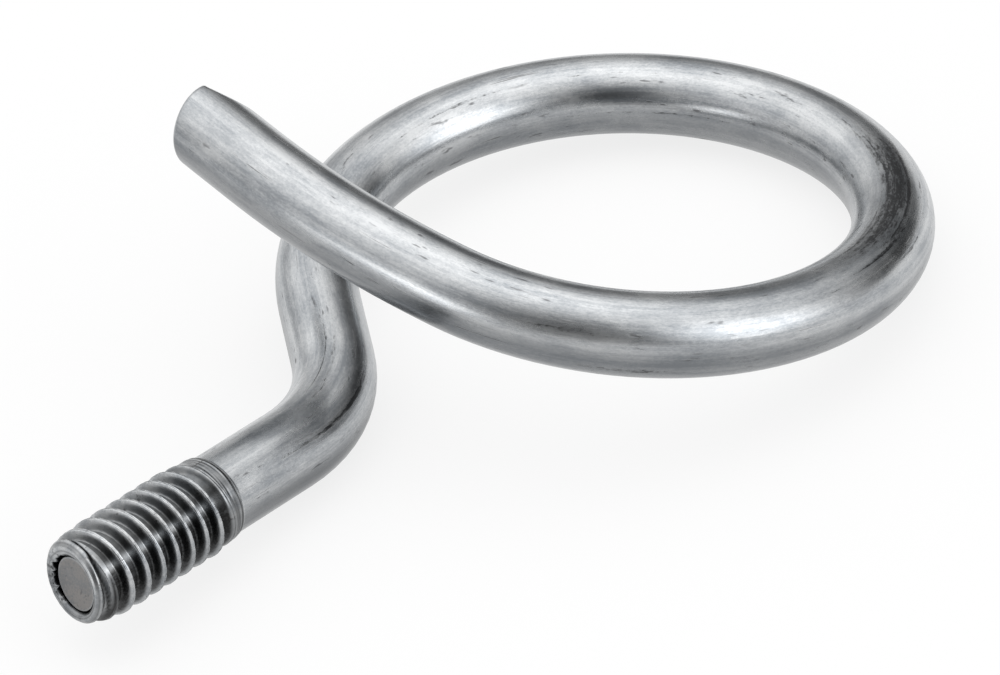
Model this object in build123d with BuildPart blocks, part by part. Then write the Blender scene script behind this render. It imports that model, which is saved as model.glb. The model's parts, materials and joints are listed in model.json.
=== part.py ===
"""Bridle ring: a cable hanger bent from one length of zinc-plated steel wire.

The wire runs from a rolled machine thread through a plain shank and an elbow, then climbs once round
an open ring and passes over itself, so that a cable can be slipped in sideways under the tail.

Forming frame, in millimetres: the shank lies along +X with the tip of the thread at the origin, and
the axis of the ring is parallel to +Z. The finished piece is then laid down as it comes to rest.
"""

from build123d import *
from math import cos, radians, sin
import os

# ---- wire
wire_d = 5.3                # drawn wire, before the thread is rolled on

# ---- thread, 1/4 inch with 20 turns to the inch, at its crest diameter
thread_major_d = 6.1
thread_pitch = 1.27
thread_turns = 10           # from the tip to the end of the run-out
runout_turns = 2            # shallow turns that the rolling dies leave behind
runout_d = 5.7              # crest diameter of the last shallow turn
runout_step_length = 0.3    # from that turn down to the wire

# ---- tip of the thread, where the lip is rolled in over the cut end
tip_length = 0.8            # lip, ahead of the first turn
tip_flat_d = 4.7            # flat of the lip
tip_round_d = 5.3           # where the rounding of the lip ends
tip_round_length = 0.45
cup_mouth_d = 4.1           # inner edge of the lip
cup_d = 3.7                 # cut end of the wire, seen inside the lip
cup_depth = 0.4

# ---- bends, all along the centre line; turns are in degrees, seen from above
shank_length = 25.1         # tip of the thread to the corner of the elbow
elbow_turn = 50.2           # to the left
elbow_radius = 11.25
riser_length = 10.7         # corner of the elbow to the start of the ring
ring_inner_d = 31.1
ring_turn = 313.2           # to the right
ring_arcs = 12              # flat arcs, end to end, that make up the climbing ring
closing_radius = 61.0       # the ring opens out before the tail
closing_turn = 15.2
tail_length = 5.45          # straight stretch up to the cut
climb = 0.0966              # rise for each millimetre forward, from the elbow to the tail

# ---- sheared tail
blade_roll = 42.4           # the blade pressed on the right side, this far round towards the top
shear_lean = 12.0           # the cut leans out of square, and is longest on the pressed side
pinch_length = 2.5          # facet that the blade left in the wire
pinch_depth = 0.6
shear_round = 0.3           # rolled edge of the cut

# ---- rest on a table, found from the centre of mass and the points of contact
lie_roll = 7.35             # about the shank, in degrees
lie_pitch = 6.61            # the far side of the ring comes down

# ---- sizes that follow
wire_radius = wire_d / 2
ring_radius = (ring_inner_d + wire_d) / 2
thread_length = thread_turns * thread_pitch
full_thread_start = tip_length + thread_pitch
full_thread_end = thread_length - runout_turns * thread_pitch
ring_heading = elbow_turn - ring_turn
tail_heading = ring_heading - closing_turn


def course(heading, slope=climb):
    """Vector that goes one millimetre along a plan heading while it rises by a slope."""
    return Vector(cos(radians(heading)), sin(radians(heading)), slope)


def forward(heading, slope=climb):
    """Unit vector along a course."""
    return course(heading, slope).normalized()


def climbing_arcs(start, heading, radius, turn, count):
    """Flat arcs, end to end, that leave start along a plan heading and turn right while they climb.
    Each leans a little more than the climb, so that its slope is just the climb at both ends."""
    half_turn = turn / count / 2
    lean = climb / cos(radians(half_turn))
    arcs = []
    for k in range(count):
        chord = 2 * radius * sin(radians(half_turn)) * course(heading - half_turn, lean)
        arcs.append(TangentArc(start, start + chord, tangent=forward(heading)))
        start = start + chord
        heading = heading - 2 * half_turn
    return arcs


# ---- centre line: thread, shank, elbow and riser, then the ring, its wider close and the tail
thread_end = Vector(thread_length, 0, 0)
elbow_corner = Vector(shank_length, 0, 0)
ring_start = elbow_corner + riser_length * forward(elbow_turn)
ring = climbing_arcs(ring_start, elbow_turn, ring_radius, ring_turn, ring_arcs)
closing = climbing_arcs(ring[-1] @ 1, ring_heading, closing_radius, closing_turn, 1)
tail_start = closing[-1] @ 1
tail_tip = tail_start + tail_length * forward(tail_heading)
uncut_end = tail_tip + wire_d * forward(tail_heading)

# ---- planes of the shear: x towards the pressed side of the wire, z out along the tail
tail_end = Plane(tail_tip, x_dir=forward(tail_heading - 90, slope=0), z_dir=forward(tail_heading))
blade = Plane(tail_end.location * Rot(0, 0, -blade_roll))
cut_plane = Plane(blade.location * Rot(0, -shear_lean, 0))
facet_start = tail_tip + wire_radius * blade.x_dir - pinch_length * blade.z_dir
facet_run = pinch_length * blade.z_dir - pinch_depth * blade.x_dir
facet_plane = Plane(facet_start, x_dir=facet_run, z_dir=blade.y_dir.cross(facet_run))
clear_of_wire = (Align.CENTER, Align.CENTER, Align.MIN)

with BuildPart() as formed_wire:
    # plain wire, from the end of the thread to a little past the cut
    with BuildLine() as route:
        FilletPolyline(thread_end, elbow_corner, ring_start, radius=elbow_radius)
        add(ring + closing)
        Line(tail_start, uncut_end)
    with BuildSketch(Plane(thread_end, z_dir=(1, 0, 0))):
        Circle(wire_radius)
    sweep(path=route.line)

    # threaded end, turned from its half profile
    with BuildSketch(Plane.XY):
        with BuildLine():
            Polyline(
                (cup_depth, 0),
                (cup_depth, cup_d / 2),
                (0, cup_mouth_d / 2),
                (0, tip_flat_d / 2),
                (tip_round_length, tip_round_d / 2),
                (full_thread_start, thread_major_d / 2),
                (full_thread_end, thread_major_d / 2),
                (thread_length - runout_step_length, runout_d / 2),
                (thread_length, wire_radius),
                (thread_length, 0),
                close=True,
            )
        make_face()
    revolve(axis=Axis.X)

    # the facet that the blade pressed, then the cut with its rolled edge
    with Locations(facet_plane):
        Box(3 * wire_d, 2 * wire_d, wire_d, align=clear_of_wire, mode=Mode.SUBTRACT)
    with Locations(cut_plane):
        Box(2 * wire_d, 2 * wire_d, 2 * wire_d, align=clear_of_wire, mode=Mode.SUBTRACT)
    cut_face = formed_wire.faces().filter_by(cut_plane).sort_by_distance(tail_tip)[0]
    fillet(cut_face.edges(), shear_round)

# ---- the finished piece, laid down with its lowest point at z = 0 and its box centred on the origin
laid = Rot(0, lie_pitch, 0) * Rot(lie_roll, 0, 0) * formed_wire.part
low = laid.bounding_box().min
middle = laid.bounding_box().center()

with BuildPart() as bridle_ring:
    add(Pos(-middle.X, -middle.Y, -low.Z) * laid)

os.makedirs("parts", exist_ok=True)
bridle_ring.part.label = "bridle_ring"
export_step(bridle_ring.part, "parts/bridle_ring.step")
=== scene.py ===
# %% [markdown]
# # A bridle ring, bent from one zinc-plated wire
#
# Electricians hang cables in this ring. It is one length of steel wire: a thread is rolled on one
# end, an elbow and an open climbing ring are bent after it, and shears cut the other end off.
# The solid model gives its real place and size. Here that wire gets its skin: the turns of the
# thread, the lip that rolling leaves round the tip, the marks of the shears, and the zinc.

# %% Open the frame
import json
import math

import bpy
import numpy as np
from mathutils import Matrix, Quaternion, Vector


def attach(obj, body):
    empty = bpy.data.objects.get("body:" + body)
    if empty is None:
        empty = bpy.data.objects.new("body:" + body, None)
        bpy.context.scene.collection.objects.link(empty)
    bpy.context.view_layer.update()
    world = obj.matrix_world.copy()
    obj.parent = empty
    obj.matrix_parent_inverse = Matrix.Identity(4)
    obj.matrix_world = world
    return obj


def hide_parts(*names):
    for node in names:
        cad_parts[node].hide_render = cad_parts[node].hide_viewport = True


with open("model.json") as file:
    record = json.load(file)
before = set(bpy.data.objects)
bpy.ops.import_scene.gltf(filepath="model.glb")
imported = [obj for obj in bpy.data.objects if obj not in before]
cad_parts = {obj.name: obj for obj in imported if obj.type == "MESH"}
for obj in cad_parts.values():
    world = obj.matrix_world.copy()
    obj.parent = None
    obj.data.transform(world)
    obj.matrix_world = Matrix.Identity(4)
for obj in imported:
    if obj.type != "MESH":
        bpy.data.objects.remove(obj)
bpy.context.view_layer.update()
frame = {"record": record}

# %% [markdown]
# ## The sizes of the wire
#
# A bending machine needs only a short list: how far to feed the wire, how far to turn it, and on
# what radius. The same list is enough here. Everything is in millimetres until the last step,
# because that is how such a part is measured.

# %% Sizes
wire_radius = 2.647              # a hair under the solid's 2.65, to stay inside its box
climb = 0.098                    # mean rise for each millimetre forward, after the elbow

shank_length = 25.1              # tip to the corner of the elbow
elbow_turn = math.radians(50.2)
elbow_radius = 11.25
riser_length = 10.7              # corner of the elbow to the start of the ring
ring_radius = 18.2
ring_turn = math.radians(313.2)
closing_radius = 61.0            # the ring opens out before the tail
closing_turn = math.radians(15.2)
tail_length = 5.45
print("inside of the ring, in mm:", round(2 * (ring_radius - wire_radius), 1))

# %% [markdown]
# ## The centre line
#
# The wire could be a curve object with a round bevel, but then its skin would be the same all the
# way, and the thread and the cut would need pieces of their own. Instead the centre line is a
# table of points. Only its direction is written down, one stretch after another, and the points
# are the running sum of the directions, as when a pen is driven along.

# %% Direction and position along the wire
slant = math.hypot(1, climb)     # length along the slope for each millimetre in plan
level = np.array([1.0, 0.0, 0.0])
uphill = np.array([math.cos(elbow_turn), math.sin(elbow_turn), climb]) / slant
elbow_angle = math.acos(level @ uphill)
elbow_cut = elbow_radius * math.tan(elbow_angle / 2)

elbow_start = shank_length - elbow_cut
riser_start = elbow_start + elbow_radius * elbow_angle
ring_start = riser_start + riser_length - elbow_cut
closing_start = ring_start + ring_radius * ring_turn * slant
tail_start = closing_start + closing_radius * closing_turn * slant
tail_end = tail_start + tail_length


def rise(value, start, length):
    """Straight rise from 0 to 1 that begins at a start and takes a length."""
    return np.clip((value - start) / length, 0, 1)


def direction(s):
    """Unit direction at a length s along the wire: in the elbow it swings evenly from level to
    uphill, and after it the heading falls by length over radius, first on the ring's radius and
    then on the closing radius, while the slope stays the same."""
    swing = rise(s, elbow_start, riser_start - elbow_start)[..., None] * elbow_angle
    in_elbow = (np.sin(elbow_angle - swing) * level + np.sin(swing) * uphill) / math.sin(elbow_angle)
    on_ring = rise(s, ring_start, closing_start - ring_start) * ring_turn
    on_closing = rise(s, closing_start, tail_start - closing_start) * closing_turn
    heading = elbow_turn - on_ring - on_closing
    in_ring = np.stack([np.cos(heading), np.sin(heading), np.full_like(heading, climb)], -1) / slant
    return np.where((s < ring_start)[..., None], in_elbow, in_ring)


spare = 1.0                      # straight length past both ends, for rows that lean over them
table_s = np.linspace(-spare, tail_end + spare, 8001)
table_step = table_s[1] - table_s[0]
steps = direction(table_s[:-1] + table_step / 2) * table_step
table_xyz = np.concatenate([np.zeros((1, 3)), np.cumsum(steps, 0)]) - spare * level


def centre_line(s):
    """Point of the centre line at a length s, read from the table."""
    return np.stack([np.interp(s, table_s, table_xyz[:, axis]) for axis in range(3)], -1)


print(f"wire length {tail_end:.1f} mm, middle of the cut at", centre_line(tail_end).round(2))

# %% [markdown]
# ## Where the wire lies
#
# The bends above are written for a shank that lies along X. The real piece is laid down on the
# underside of its elbow and the far side of its ring. The record of the solid model says where
# its thread and its eye are. Their two axes turn the wire, and the thread's place moves it.

# %% Place of the bent wire on the table
mounts = {mount["name"]: mount for mount in frame["record"]["mounts"]}
shank_axis = -np.array(mounts["thread"]["axis"])
shank_axis /= np.linalg.norm(shank_axis)
ring_axis = np.array(mounts["cable_eye"]["axis"])
ring_axis -= shank_axis * (ring_axis @ shank_axis)
ring_axis /= np.linalg.norm(ring_axis)
laid_axes = np.stack([shank_axis, np.cross(ring_axis, shank_axis), ring_axis], 1)

thread_middle = np.array([6.115, 0.0, 0.0])      # the thread's mount, while the shank is along X
laid_tip = 1000 * np.array(mounts["thread"]["pos_m"]) - laid_axes @ thread_middle
print("tip of the thread on the table:", laid_tip.round(2))


def skin_points(s, angle, radius):
    """Points in metres at a length s, an angle and a radius: the centre line at s, plus the
    radius times (cos angle x right + sin angle x up). Right is level and square to the wire."""
    forward = direction(s)
    right = np.cross(forward, [0.0, 0.0, 1.0])
    right /= np.linalg.norm(right, axis=-1, keepdims=True)
    up = np.cross(right, forward)
    out = np.cos(angle)[..., None] * right + np.sin(angle)[..., None] * up
    bent = centre_line(s) + radius[..., None] * out
    return (bent @ laid_axes.T + laid_tip) / 1000


# %% [markdown]
# ## The rolled thread
#
# Flat dies press these turns into the wire, so the metal of the roots has moved out into the
# crests, and the crests stand prouder than the plain wire. The two sides of a crest don't quite
# close, and a fine seam stays between them. The dies leave marks at both ends too: thin rings
# where the turns run out, and fine grooves behind the tip. A screw modifier would make an even
# helix and stop there. As a height over length and angle, the helix can fade out and keep these.

# %% Marks of the dies
pitch = 1.27
crest_radius = 3.03
root_radius = 2.35
turn_offset = 0.735              # where the crest stands at the tip, in turns
thread_end = 12.8
run_out_s = thread_end - 2.1     # from here on the turns grow shallow
last_ring_s = thread_end - 0.25  # a deeper ring, just before the plain wire
print("length of the thread, in pitches:", round(thread_end / pitch, 1))


def smooth(share):
    """A straight rise with its ends rounded: three times its square, less twice its cube."""
    return share * share * (3 - 2 * share)


def bell(distance):
    """Soft bump: e to the power of minus the distance squared, so one at zero, and nearly gone
    at two on either side."""
    return np.exp(-distance ** 2)


def ripple(s, angle, seed):
    """Slow unevenness between -1 and 1: three sine waves over length and angle, at odd rates."""
    return (np.sin(1.7 * s + 1.0 * angle + seed) + np.sin(0.83 * s - 2.0 * angle + 2.1 * seed)
            + np.sin(3.1 * s + 3.0 * angle + 4.7 * seed)) / 3


def lip_grooves(lip, angle):
    """Fine grooves behind the tip: four thin bells over the length. Their spacing grows from
    nothing near the top, where they make one deeper groove, to its full size near the bottom."""
    spacing = 0.25 * (0.5 - 0.5 * np.cos(angle - math.radians(100)))
    depths = (1.0, 0.75, 0.9, 0.8)
    return sum(depth * bell((lip - 0.54 - k * spacing) / 0.05) for k, depth in enumerate(depths))


def run_out_rings(s, angle):
    """Thin rings near the end of the run-out, between 0 and 1: a cosine over the length, which
    the angle and a ripple shift, times a strength that comes and goes."""
    waves = np.cos(2 * math.pi * s / 0.25 + angle + 2.5 * ripple(s, angle, 8.0))
    uneven = np.clip(0.6 + 0.8 * ripple(2.5 * s, angle, 3.0), 0, 1)
    near_end = rise(s, last_ring_s - 1.15, 0.4) * (1 - rise(s, last_ring_s, 0.1))
    return (0.5 + 0.5 * waves) * uneven * near_end


# %% [markdown]
# ### Height over length and angle
#
# The height follows from one number, the gap to the nearest crest. It is counted in pitches, so
# that it means the same on every turn. The face of the tip leans, so each point has two lengths:
# one from the face, for what follows the lip, and one from the origin, for what follows the dies.

# %% Height of the thread
lip_offset = 0.15                # how far the lip is rolled off the axis
lip_offset_side = math.radians(138)


def lip_shift(weight, angle):
    """What the rolled lip adds to the radius: the offset times a weight, times the cosine to the
    side that it is rolled to, the upper left."""
    return lip_offset * weight * np.cos(angle - lip_offset_side)


def thread_radius(s, angle, lip):
    """Radius over the threaded end, from the length s and the length from the lip. A flank falls
    from crest to root with both corners rounded. The lead-in cone at the tip cuts the first
    crests down, and towards the plain wire the root rises and the crest sinks."""
    # the turns stand a little further apart behind the lead-in, then keep to the pitch
    stretched = s + 0.31 * np.exp(-np.maximum(s - 2.4, 0) / 1.7)
    turns = stretched / pitch + angle / (2 * math.pi) + turn_offset
    gap = np.abs(turns - np.round(turns)) + 0.006 * ripple(s, angle, 1.0)
    flank = 1 - rise(gap, 0.06, 0.22)

    fade = smooth(rise(s, run_out_s, 0.9))
    crest = crest_radius - 0.17 * fade + 0.012 * ripple(s, angle, 2.0)
    root = root_radius + 0.47 * fade + 0.008 * ripple(s, angle, 3.0)
    full = root + (crest - root) * (0.55 * flank + 0.45 * smooth(flank))

    lead_in = np.interp(lip, [0.4, 1.3, 2.4, 3.6], [2.66, 2.84, 2.99, 3.06])
    fine_lines = 0.015 * rise(full - lead_in, 0, 0.12) * np.cos(2 * math.pi * 7 * turns)
    seam = bell(gap / 0.022) * (0.045 + 0.02 * ripple(s, angle, 5.0))
    last_ring = 0.08 * bell((s - last_ring_s) / 0.07)
    cuts = 0.045 * run_out_rings(s, angle) + 0.085 * lip_grooves(lip, angle) + last_ring
    behind_lip = 1 - rise(lip, 0.5, 1.5)
    return np.minimum(full, lead_in) - seam * flank + fine_lines - cuts + lip_shift(behind_lip, angle)


mid_thread = thread_radius(np.linspace(5, 8, 300), 0.0, 5.0)
print("root and crest of the thread, in mm:", mid_thread.min().round(2), mid_thread.max().round(2))

# %% [markdown]
# ## The lip round the tip
#
# Rolling pushes the surface of the wire further than its core. At the tip this leaves a lip that
# curls in over the cut end: a flat disc, a crack round it that gapes on one side, and a rounded
# rim. The profile is a short path from the middle of the disc to the rim, carried round the axis.
# A lathe would leave it the same all round. Here the edge of the crack is torn, the lip is rolled
# a little off the axis and the face leans, and each of these is a function of the angle.

# %% Profile of the tip
tip_path = np.array([
    # length, radius, share of the crack's width, painted shade in the crack and grooves, bare steel
    [0.30, 0.30, 0.0, 0.0, 1.0], [0.30, 0.80, 0.0, 0.0, 1.0], [0.30, 1.20, 0.0, 0.0, 1.0],
    [0.30, 1.50, 0.0, 0.0, 1.0], [0.29, 1.60, 0.0, 0.0, 0.9], [0.27, 1.68, 0.0, 0.0, 0.4],
    [0.30, 1.73, 0.0, 0.3, 0.0], [0.42, 1.75, 0.0, 1.0, 0.0], [0.80, 1.76, 0.1, 1.0, 0.0],
    [0.90, 1.77, 0.5, 1.0, 0.0], [0.80, 1.78, 0.9, 1.0, 0.0], [0.55, 1.785, 1.0, 1.0, 0.0],
    [0.36, 1.79, 1.0, 0.9, 0.0], [0.23, 1.82, 0.95, 0.5, 0.0], [0.14, 1.88, 0.8, 0.3, 0.0],
    [0.07, 1.97, 0.65, 0.2, 0.0], [0.03, 2.06, 0.5, 0.3, 0.0], [0.05, 2.13, 0.4, 0.6, 0.0],
    [0.01, 2.20, 0.3, 0.2, 0.0], [0.00, 2.30, 0.2, 0.1, 0.0], [0.03, 2.40, 0.1, 0.3, 0.0],
    [0.09, 2.48, 0.0, 0.4, 0.0], [0.17, 2.54, 0.0, 0.6, 0.0], [0.24, 2.61, 0.0, 0.2, 0.0],
    [0.36, 2.65, 0.0, 0.2, 0.0],
])
tip_s, tip_radius, crack_share, tip_shade, tip_steel = tip_path.T[..., None]
disc_s = tip_path[0, 0]
tip_start = 0.45                 # the thread's own rows begin here
lip_radius = 2.62                # outside of the lip
face_lean = 0.166                # the face leans back on the left, per millimetre of radius
face_turn = math.radians(172)


def stripe(angle, middle_degrees, half_degrees, power=2):
    """Soft stripe along the wire: e to the power of minus the angle from its middle, counted in
    half widths and raised to a power. A higher power makes its middle flatter and its edges
    steeper."""
    apart = np.angle(np.exp(1j * (angle - math.radians(middle_degrees))))
    return np.exp(-np.abs(apart / math.radians(half_degrees)) ** power)


def gape(angle):
    """One in the middle of the side where the crack gapes, and nothing on the other side."""
    return stripe(angle, 194, 48.7, 3)


def crack_width(angle):
    """Width of the crack round the disc: a hairline everywhere, and on one side a wide gap whose
    edge is torn by a high ripple."""
    torn = (np.sin(13 * angle + 0.5) + np.sin(21 * angle + 1.9) + 0.7 * np.sin(34 * angle + 4.0)) / 2.7
    return 0.032 + gape(angle) * (0.20 + 0.20 * torn) + 0.010 * np.sin(5 * angle)


def lean(s, angle, radius, weight):
    """Length after the face has leaned: it is set back on the left by the radius times the lean,
    and not at all on the right, where the face stands furthest out."""
    return s + weight * face_lean * (lip_radius + radius * np.cos(angle - face_turn))


crack = crack_width(np.linspace(0, 2 * math.pi, 361))
print("width of the crack, in mm:", crack.min().round(3), "to", crack.max().round(3))

# %% [markdown]
# ## The sheared end
#
# Shears squeeze the wire before they break it. The side under the blade gets a slanting flat, and
# the cut leans out of square. A boolean could slice both, but its edges would stay razor sharp.
# Limiting the radius by the plane of the flat, with a soft limit, gives a flat with soft edges.

# %% The flat and the cut
blade_side = math.radians(42.4)
pinch_length = 2.5
pinch_depth = 0.6
pinch_softness = 0.03
shear_lean = math.tan(math.radians(12.0))


def tail_radius(s, angle):
    """Radius near the tail: the smaller of the wire's radius and the distance to the flat, which
    sinks evenly from nothing to the pinch depth. The soft limit rounds the edge between them."""
    sunk = pinch_depth * np.clip((s - tail_end + pinch_length) / pinch_length, -0.5, 1)
    facing = np.maximum(np.cos(angle - blade_side), 0.05)
    limit = (wire_radius - sunk) / facing
    return -pinch_softness * np.logaddexp(-wire_radius / pinch_softness, -limit / pinch_softness)


def cut_lean(radius, angle):
    """How far the leaning cut reaches past the end of the centre line: the lean times the radius,
    times the cosine to the side of the blade."""
    return shear_lean * radius * np.cos(angle - blade_side)


flat_at_cut = wire_radius - tail_radius(tail_end, blade_side)
print("depth of the flat at the cut, in mm:", flat_at_cut.round(2))

# %% [markdown]
# ## One skin from tip to tail
#
# All the stretches share the same columns, so their rows stack into one grid: disc, lip, thread,
# plain wire, flat, rolled edge and cut face. One closed skin has no seams to hide. The rows lie
# close together only where there is something to show, in the thread and at both ends.

# %% Rows of the skin
columns = 160
around = np.linspace(0, 2 * math.pi, columns, endpoint=False)
thread_lip = np.arange(tip_start, thread_end + 0.5, pitch / 28)[:, None]
near_tail = 4.5                  # the last stretch, where rows close up and begin to lean


def tip_rows():
    """Rows from the middle of the disc to the rim, from the path and the crack's width."""
    angle = np.broadcast_to(around, (len(tip_s), columns))
    on_lip = rise(tip_radius, 1.80, 0.6)
    radius = tip_radius + crack_share * crack_width(angle) + lip_shift(on_lip, angle)
    return lean(tip_s, angle, radius, 1.0), angle, radius


def thread_rows():
    """Rows over the thread and its run-out, then the step down to the plain wire. The first ones
    lean with the face, and they soon stand upright."""
    angle = np.broadcast_to(around, (len(thread_lip), columns))
    still_leaning = (1 - rise(thread_lip, tip_start, 1.6)) ** 1.5
    s = lean(thread_lip, angle, lip_radius, still_leaning)
    plain = 0.5 + 0.5 * np.tanh((s - thread_end + 0.12) / 0.06)
    return s, angle, thread_radius(s, angle, thread_lip) * (1 - plain) + wire_radius * plain


def wire_rows():
    """Rows over the plain wire, and over the flat that the shears left, where they begin to lean
    with the cut."""
    apart = np.arange(thread_end + 0.7, tail_end - near_tail, 0.9)
    close = np.arange(tail_end - near_tail, tail_end - 0.5, 0.1)
    s = np.concatenate([apart, close])[:, None]
    angle = np.broadcast_to(around, (len(s), columns))
    s = s + rise(s, tail_end - near_tail, near_tail - 0.5) ** 2 * cut_lean(wire_radius, angle)
    return s, angle, tail_radius(s, angle)


def edge_rows():
    """Rows round the rolled edge, which is wider on the side away from the blade, and then
    inwards over the cut face."""
    count = 9
    quarter_turn = np.linspace(0, math.pi / 2, count)[:, None]
    inwards = np.linspace(0.9, 0.1, count)[:, None]
    angle = np.broadcast_to(around, (count, columns))
    rolled = 0.43 - 0.05 * np.cos(angle - blade_side)    # radius of the rolled edge
    rim = tail_radius(tail_end + cut_lean(wire_radius, angle), angle)
    edge = rim - rolled * (1 - np.cos(quarter_turn))
    edge_s = tail_end - rolled * (1 - np.sin(quarter_turn)) + cut_lean(rim, angle)
    face = edge[-1] * inwards
    face_s = tail_end + cut_lean(face, angle)
    return np.concatenate([edge_s, face_s]), np.concatenate([angle, angle]), np.concatenate([edge, face])


stretches = [tip_rows(), thread_rows(), wire_rows(), edge_rows()]
s, angle, radius = (np.concatenate(grids) for grids in zip(*stretches))
points = skin_points(s, angle, radius)
pole_s = np.array([disc_s + face_lean * lip_radius, tail_end])
poles = skin_points(pole_s, np.zeros(2), np.zeros(2))
print("rows:", [len(grids[0]) for grids in stretches], "columns:", columns)

# %% [markdown]
# ## From rows to a mesh
#
# Four neighbours in the grid make a face. The last column joins the first, and a fan of triangles
# closes each end. The unbent place of each point, its length along the wire and its spot in the
# section, goes in an attribute, so that streaks can later run along the wire round every bend.

# %% Mesh of the ring
rows = len(points)
grid = np.arange(rows * columns).reshape(rows, columns)
beside = np.roll(grid, -1, axis=1)
quads = np.stack([grid[:-1], grid[1:], beside[1:], beside[:-1]], -1).reshape(-1, 4)
first_pole, last_pole = rows * columns, rows * columns + 1
start_fan = np.stack([np.full(columns, first_pole), grid[0], beside[0]], -1)
end_fan = np.stack([np.full(columns, last_pole), beside[-1], grid[-1]], -1)

mesh = bpy.data.meshes.new("bent_wire")
mesh.from_pydata(
    np.concatenate([points.reshape(-1, 3), poles]).tolist(), [],
    quads.tolist() + start_fan.tolist() + end_fan.tolist(),
)
mesh.shade_smooth()

unbent = np.stack([radius * np.cos(angle), radius * np.sin(angle), s], -1).reshape(-1, 3)
unbent = np.concatenate([unbent, [[0, 0, disc_s], [0, 0, tail_end]]]) / 1000
mesh.attributes.new("unbent", "FLOAT_VECTOR", "POINT").data.foreach_set("vector", unbent.ravel())

ring = bpy.data.objects.new("bent_wire_ring", mesh)
bpy.context.scene.collection.objects.link(ring)
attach(ring, "root")
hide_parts("bridle_ring")
print("faces:", len(mesh.polygons))

# %% [markdown]
# ## Where shade is painted
#
# Shade is painted into the colour at the bottom of the turns, more on one side of the thread,
# between the rings of the run-out, in the grooves behind the tip, in the crack round its disc and
# along the torn edge of the lip. The run-out is also a little darker all over. Texture paint on an
# image could show this. A number for each point of the mesh does the same with no image, because
# the places are known in wire coordinates: a length, an angle and a radius.

# %% Painted shade for each point
# Painted shade low in the turns: deeper on their shaded side, and lifted along the line where the lamp glints
# in the roots.
on_turns = rise(s, 0.9, 0.3) * (1 - rise(s, last_ring_s - 0.35, 0.4))
on_shaded_side = 0.50 + 0.50 * stripe(angle, 5, 75, 4)
off_lamp_glint = 1 - 0.75 * stripe(angle, 42, 7)
low_in_turns = (1 - rise(radius, 2.76, 0.18)) * on_turns * on_shaded_side * off_lamp_glint

# Painted shade over the run-out, deepest in its last ring and between its rings.
run_out_darker = 0.25 * rise(s, run_out_s + 0.3, 0.3) * (1 - rise(s, last_ring_s - 0.05, 0.1))
in_last_ring = 0.75 * bell((s - last_ring_s - 0.03) / 0.08)
painted_shade = np.maximum(low_in_turns, run_out_darker + in_last_ring + 0.55 * run_out_rings(s, angle))

on_tip = slice(0, len(tip_s))
on_thread = slice(len(tip_s), len(tip_s) + len(thread_lip))
# Painted shade in the grooves behind the tip, and along the torn edge of the lip where the crack gapes.
grooves = np.clip(0.30 * (thread_lip < 1.5) + lip_grooves(thread_lip, around), 0, 0.95)
painted_shade[on_thread] = np.maximum(painted_shade[on_thread], grooves)
crinkles = np.clip(0.38 + 0.30 * np.sin(23 * around) + 0.20 * np.sin(41 * around + 1.0), 0, 1)
on_rolled_lip = np.interp(tip_radius, [1.8, 1.9, 2.4, 2.6], [0, 1, 1, 0])
painted_shade[on_tip] = np.maximum(tip_shade, on_rolled_lip * gape(around) * crinkles)
# The mean of the painted shade on the tip and on the thread.
print("mean dirt on the tip:", painted_shade[on_tip].mean().round(2), "and thread:", painted_shade[on_thread].mean().round(2))

# %% [markdown]
# ## Stains, streaks, painted shade underneath and bare steel
#
# One long dark stain lies on the far bend of the ring, and thin dark streaks follow the wire. The
# underside is painted darker, as painted shade where it faces the floor, and both cut ends are
# bare steel. In wire coordinates a stain or a streak is a plain oval, whatever the bends do. The
# shader later breaks its edge up with noise.

# %% Stains, painted shade underneath and bare steel, for each point
def patch(s, angle, middle_s, middle_degrees, half_length, half_degrees, power=2):
    """Soft oval patch on the wire: a stripe that falls off over the length as well."""
    over_length = np.exp(-np.abs((s - middle_s) / half_length) ** power)
    return stripe(angle, middle_degrees, half_degrees, power) * over_length


crackled = patch(s, angle, 98.0, 89, 12.0, 25, 4)
streak_places = [
    # middle of the length, middle angle, half length, half angle, weight
    (97.0, 108, 9.0, 4.0, 1.50), (104.5, 116, 6.5, 4.0, 1.20), (110.5, 126, 4.5, 3.0, 0.95),
    (20.0, 42, 5.0, 3.0, 0.55), (25.2, 40, 2.8, 10.0, 0.60), (17.0, 79, 3.5, 3.0, 0.80),
    (127.0, 151, 7.5, 10.0, 0.80), (27.0, 91, 7.0, 2.2, 0.95), (28.5, 104, 7.0, 2.2, 0.95),
    (54.0, 64, 8.0, 3.0, 0.80), (73.0, 3, 16.0, 3.4, 0.85), (72.0, 62, 14.0, 3.0, 0.70),
    (22.0, 45, 7.0, 6.0, 0.70), (123.0, 205, 4.5, 8.0, 0.90), (41.0, 100, 6.0, 4.0, 0.60),
]
streaked = sum(weight * patch(s, angle, *place) for *place, weight in streak_places)

# Painted shade: the underside is darker where it faces the floor, weaker on the thread and stronger at the
# elbow.
faces_down = 1 - smooth(rise(np.sin(angle), -0.15, 0.60))
weaker_on_thread = np.maximum(rise(s, thread_end - 0.2, 0.3), 0.6)
stronger_at_elbow = 1 + 0.40 * patch(s, angle, 24, -25, 13, 60, 4)
underside_shade = faces_down * weaker_on_thread * stronger_at_elbow

bare = np.where(s > tail_end - 0.05 + cut_lean(radius, angle), 1.0, 0.0)
bare[on_tip] = tip_steel

painted = {
    # numbers of the grid, then of the middle of the disc and of the middle of the cut
    "painted_shade": (painted_shade, 0, 0),
    "crackled": (crackled, 0, 0),
    "streaked": (streaked, 0, 0),
    "underside_shade": (underside_shade, 0, 0.5),
    "dull": (bare, 1, 1),
}
for name, (field, at_disc, at_cut) in painted.items():
    values = np.concatenate([field.ravel(), [at_disc, at_cut]])
    mesh.attributes.new(name, "FLOAT", "POINT").data.foreach_set("value", values)
    print(name, "covers", round(100 * float((values > 0.3).mean()), 1), "% of the points")

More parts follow.
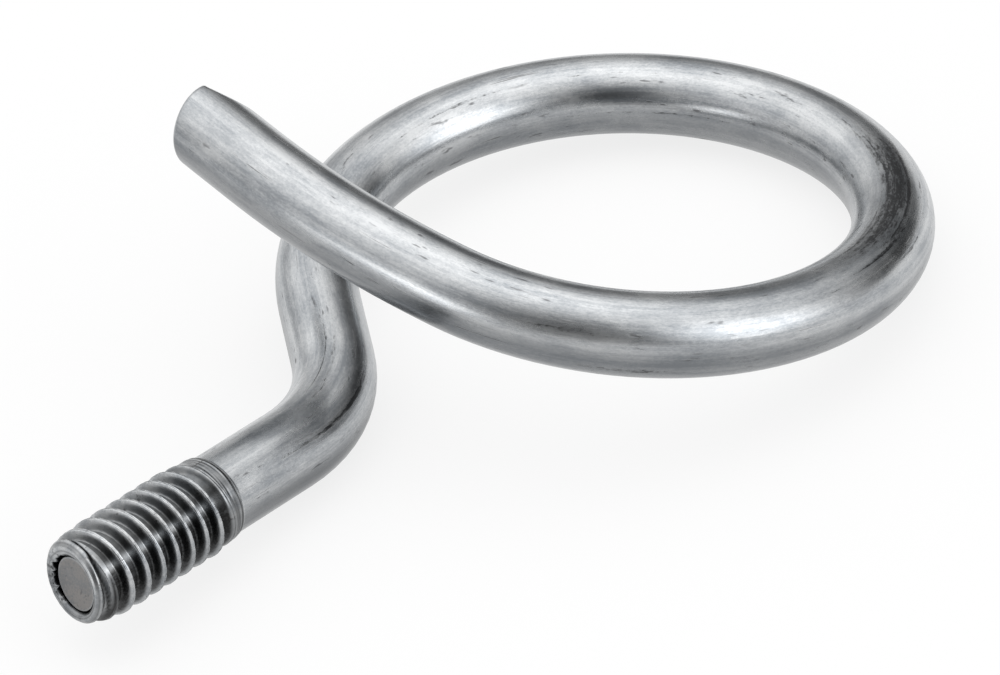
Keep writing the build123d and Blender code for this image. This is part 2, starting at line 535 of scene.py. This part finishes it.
# %% [markdown]
# ## Nodes with less typing
#
# A material is a graph of nodes. Small helpers keep the graph readable: one adds a node with its
# settings and inputs in one line, and the others do arithmetic on sockets and numbers alike.

# %% Helpers for nodes
def add_node(tree, kind, inputs=(), **settings):
    """Add a node, set its properties, and fill its inputs with values or with links."""
    made = tree.nodes.new(kind)
    for name, value in settings.items():
        setattr(made, name, value)
    for socket, value in dict(inputs).items():
        if isinstance(value, bpy.types.NodeSocket):
            tree.links.new(value, made.inputs[socket])
        else:
            made.inputs[socket].default_value = value
    return made


def calculate(tree, operation, *values):
    """Socket that holds one math operation on sockets or numbers."""
    return add_node(tree, "ShaderNodeMath", dict(enumerate(values)), operation=operation).outputs[0]


def weighted_sum(tree, start, *terms):
    """Socket that holds a start value, plus each term's socket times its share."""
    total = start
    for socket, share in terms:
        total = calculate(tree, "MULTIPLY_ADD", socket, share, total)
    return total


def between(tree, value, low, high):
    """Socket that rises smoothly from 0 to 1 while the value goes from low to high."""
    limits = {"Value": value, "From Min": low, "From Max": high}
    return add_node(tree, "ShaderNodeMapRange", limits, interpolation_type="SMOOTHSTEP").outputs[0]


# %% [markdown]
# ## Zinc on drawn wire
#
# The wire is pulled through a die, which leaves long fine streaks, and the zinc follows them with
# a slightly cloudy, blue-grey tone. Noise stretched along the wire gives both. Because it reads
# the unbent coordinates, the streaks run round every bend as the real ones do, and they don't
# smear across the elbow as a pattern in plain space would.

# %% Streaks, clouds and pits
zinc = bpy.data.materials.new("zinc_on_drawn_steel")
zinc.use_nodes = True
tree = zinc.node_tree
surface = tree.nodes["Principled BSDF"]
unbent_place = add_node(tree, "ShaderNodeAttribute", attribute_name="unbent").outputs["Vector"]


def wire_noise(across, along, detail=2.0, roughness=0.5):
    """Noise with this many grains per metre across the wire and along it."""
    scaled = add_node(tree, "ShaderNodeMapping", {"Vector": unbent_place, "Scale": (across, across, along)})
    grains = {"Vector": scaled.outputs[0], "Scale": 1.0, "Detail": detail, "Roughness": roughness}
    return add_node(tree, "ShaderNodeTexNoise", grains).outputs["Fac"]


die_lines = wire_noise(5200, 95, detail=3.0, roughness=0.6)
streaks = wire_noise(1150, 42)
clouds = wire_noise(520, 230, detail=4.0, roughness=0.62)
grain = wire_noise(9000, 4200, roughness=0.7)
facets = wire_noise(430, 20, detail=1.0)
pit_field = wire_noise(2700, 620, roughness=0.6)
pit_rows = wire_noise(1300, 60, detail=1.0)
crackle = wire_noise(3400, 1000, detail=4.0, roughness=0.75)

pits = calculate(tree, "MULTIPLY", between(tree, pit_field, 0.595, 0.72), between(tree, pit_rows, 0.50, 0.60))
in_clouds = between(tree, clouds, 0.42, 0.56)
scratches = calculate(tree, "MULTIPLY", between(tree, die_lines, 0.655, 0.72), in_clouds)
marks = calculate(tree, "MAXIMUM", pits, scratches)

tone = weighted_sum(
    tree, 0.0, (die_lines, 0.24), (streaks, 0.38), (clouds, 0.48), (grain, 0.24), (crackle, 0.14))
tone_ramp = add_node(tree, "ShaderNodeValToRGB", {"Fac": tone})
grey_stop, pale_stop = tone_ramp.color_ramp.elements
grey_stop.position = 0.62
grey_stop.color = (0.297, 0.315, 0.334, 1)
pale_stop.position = 0.86
pale_stop.color = (0.600, 0.612, 0.620, 1)
print("noise fields:", sum(node.type == "TEX_NOISE" for node in tree.nodes))

# %% [markdown]
# ## Painted shade, stain and dull steel on top
#
# Each layer mixes a darker colour over the zinc, and the roughness rises with the painted shade in
# the hollows and on the sheared steel. The masks are the numbers painted on the points, broken up
# by the same noise as the zinc, so that no edge looks airbrushed.

# %% Masks of the finish
masks = {}
for name in painted:
    masks[name] = add_node(tree, "ShaderNodeAttribute", attribute_name=name).outputs["Fac"]

patchy = weighted_sum(tree, clouds, (grain, 0.8), (die_lines, 0.7))
thick_or_thin = calculate(tree, "MULTIPLY_ADD", between(tree, patchy, 0.90, 1.40), 0.18, 0.82)
# Painted shade in the hollows, broken up by noise.
shade_in_hollows = calculate(tree, "MULTIPLY", masks["painted_shade"], thick_or_thin)
tarnish = calculate(tree, "MULTIPLY", masks["dull"], between(tree, patchy, 1.12, 1.36))

broken = weighted_sum(tree, 0.0, (die_lines, 0.33), (crackle, 0.42), (grain, 0.25))
blotches = between(tree, weighted_sum(tree, broken, (masks["crackled"], 0.36)), 0.70, 0.90)
lines = between(tree, weighted_sum(tree, broken, (masks["streaked"], 0.28)), 0.68, 0.84)
stained = calculate(tree, "MULTIPLY", calculate(tree, "MAXIMUM", blotches, lines), 0.95)
print("painted masks:", list(masks))

# %% [markdown]
# ### Layers over the zinc
#
# The painted shade on the underside and the bare cuts go on first, then small marks, and the
# painted shade in the hollows and the stain last, because they cover all the rest. The bumps are
# tiny. The broad facets among them matter most: they make the long reflections waver, as they do
# on bent wire.

# %% Layers of the finish
layers = (
    # mask, strength and colour
    # Painted shade on the underside, where it faces the floor.
    (masks["underside_shade"], 0.60, (0.098, 0.103, 0.110)),
    (masks["dull"], 0.90, (0.140, 0.143, 0.147)),
    (tarnish, 0.60, (0.245, 0.226, 0.210)),
    (marks, 0.75, (0.100, 0.100, 0.105)),
    # Painted shade in the hollows of the thread, the grooves behind the tip and the crack.
    (shade_in_hollows, 1.00, (0.022, 0.022, 0.022)),
    (stained, 1.00, (0.030, 0.031, 0.033)),
)
colour = tone_ramp.outputs["Color"]
for mask, strength, darker in layers:
    share = calculate(tree, "MULTIPLY", mask, strength)
    # the mix node's inputs 0, 6 and 7 are its factor and two colours, and output 2 is their mix
    mixed = add_node(tree, "ShaderNodeMix", {0: share, 6: colour, 7: (*darker, 1)}, data_type="RGBA")
    colour = mixed.outputs[2]

roughness = weighted_sum(
    tree, 0.13, (clouds, 0.24), (marks, 0.15), (masks["painted_shade"], 0.10), (stained, 0.12), (masks["dull"], 0.30))
metallic = weighted_sum(tree, 1.0, (masks["dull"], -0.75))
relief = weighted_sum(
    tree, 0.0, (die_lines, 0.20), (clouds, 0.70), (grain, 0.08), (facets, 2.6), (marks, -0.25))
bump = add_node(tree, "ShaderNodeBump", {"Height": relief, "Strength": 1.0, "Distance": 0.000018})

tree.links.new(colour, surface.inputs["Base Color"])
tree.links.new(roughness, surface.inputs["Roughness"])
tree.links.new(metallic, surface.inputs["Metallic"])
tree.links.new(bump.outputs["Normal"], surface.inputs["Normal"])

mesh.materials.append(zinc)
print("nodes in the zinc:", len(tree.nodes))

# %% [markdown]
# ## A pale floor
#
# A wire this thin is easiest to read on white. The floor is plain white paper. Light Path tells
# the shader when it is seen, directly or in the metal, and then it is mixed towards plain white,
# so the shadow of the ring stays but is faint.

# %% Floor
floor_half = 2.0
corners = [(-floor_half, -floor_half, 0), (floor_half, -floor_half, 0),
           (floor_half, floor_half, 0), (-floor_half, floor_half, 0)]
floor_mesh = bpy.data.meshes.new("floor")
floor_mesh.from_pydata(corners, [], [(0, 1, 2, 3)])
floor = bpy.data.objects.new("floor", floor_mesh)
bpy.context.scene.collection.objects.link(floor)

paper = bpy.data.materials.new("white_paper")
paper.use_nodes = True
sheet = paper.node_tree
lit_paper = sheet.nodes["Principled BSDF"]
lit_paper.inputs["Base Color"].default_value = (0.86, 0.86, 0.86, 1)
lit_paper.inputs["Roughness"].default_value = 1.0
lit_paper.inputs["Specular IOR Level"].default_value = 0.0

rays = add_node(sheet, "ShaderNodeLightPath")
seen = calculate(sheet, "MAXIMUM", rays.outputs["Is Camera Ray"], rays.outputs["Is Glossy Ray"])
seen = calculate(sheet, "MAXIMUM", seen, rays.outputs["Is Transmission Ray"])
whitened = calculate(sheet, "MULTIPLY", seen, 0.80)
plain_white = add_node(sheet, "ShaderNodeEmission", {"Color": (1, 1, 1, 1), "Strength": 1.0})
two_papers = {0: whitened, 1: lit_paper.outputs[0], 2: plain_white.outputs[0]}
seen_paper = add_node(sheet, "ShaderNodeMixShader", two_papers)
sheet.links.new(seen_paper.outputs[0], sheet.nodes["Material Output"].inputs["Surface"])
floor_mesh.materials.append(paper)
print("floor:", 2 * floor_half, "m square")

# %% [markdown]
# ## The studio
#
# Bright metal shows nothing but its surroundings, so the studio is what draws the wire. A bright
# ceiling stands over greyer walls, with a broad soft lamp on the right and a narrow one low on the
# left. Darker corners behind the viewer and behind the ring give the wire its dark edges. Area
# lamps would be hard shapes in the metal. The world's own shader can hold soft ones: each is the
# cosine to its direction, raised to a power that makes it narrow.

# %% Soft lights of the world
world = bpy.data.worlds.new("studio")
bpy.context.scene.world = world
world.use_nodes = True
room = world.node_tree
seen_direction = add_node(room, "ShaderNodeTexCoord").outputs["Generated"]
walls = 0.62
darkest = 0.02
lobes = (
    # azimuth from +Y towards +X, elevation, strength, narrowness
    (0, 90, 1.32, 1.7),          # ceiling
    (171, 19, 2.80, 13.0),       # broad lamp on the right, behind the viewer
    (-75, -4, 3.30, 26.0),       # narrow lamp on the left, half below the horizon
    (-132, 42, -1.00, 4.2),      # dark corner behind the viewer
    (107, 11, -0.66, 9.5),       # dark corners behind the ring
    (64, 21, -0.58, 9.5),
    (9, 28, 0.28, 12.0),         # pale wall beside them, under a greyer part of the ceiling
    (0, 58, -0.28, 12.0),
)

light = walls
for azimuth, elevation, strength, narrowness in lobes:
    azimuth, elevation = math.radians(azimuth), math.radians(elevation)
    towards = (math.sin(azimuth) * math.cos(elevation), math.cos(azimuth) * math.cos(elevation),
               math.sin(elevation))
    pair = {0: seen_direction, 1: towards}
    cosine = add_node(room, "ShaderNodeVectorMath", pair, operation="DOT_PRODUCT").outputs["Value"]
    in_front = calculate(room, "MAXIMUM", cosine, 0.0)
    light = weighted_sum(room, light, (calculate(room, "POWER", in_front, narrowness), strength))

background = room.nodes["Background"]
background.inputs["Color"].default_value = (1.0, 1.0, 1.0, 1)
room.links.new(calculate(room, "MAXIMUM", light, darkest), background.inputs["Strength"])
print("soft lights and dark corners:", len(lobes))

# %% [markdown]
# ## The camera
#
# The camera looks down at the ring over the threaded tip. A long lens keeps the near thread and
# the far side of the ring in natural proportion. The camera is also rolled a little about its view.

# %% Camera
camera_data = bpy.data.cameras.new("camera")
camera_data.lens = 231.15
camera_data.clip_start = 0.01
camera_data.clip_end = 10
camera = bpy.data.objects.new("camera", camera_data)
bpy.context.scene.collection.objects.link(camera)

aim = Vector((-0.0007949, -0.0027810, 0.0057418))
view = Vector((0.58513409, 0.58776958, -0.55869941))
distance = 0.39734
roll = math.radians(-9.5826)
camera.location = aim - view * distance
camera.rotation_mode = "QUATERNION"
camera.rotation_quaternion = view.to_track_quat("-Z", "Y") @ Quaternion((0, 0, 1), roll)
bpy.context.scene.camera = camera
bpy.context.scene.view_settings.view_transform = "Standard"
print("camera at", [round(v, 4) for v in camera.location])
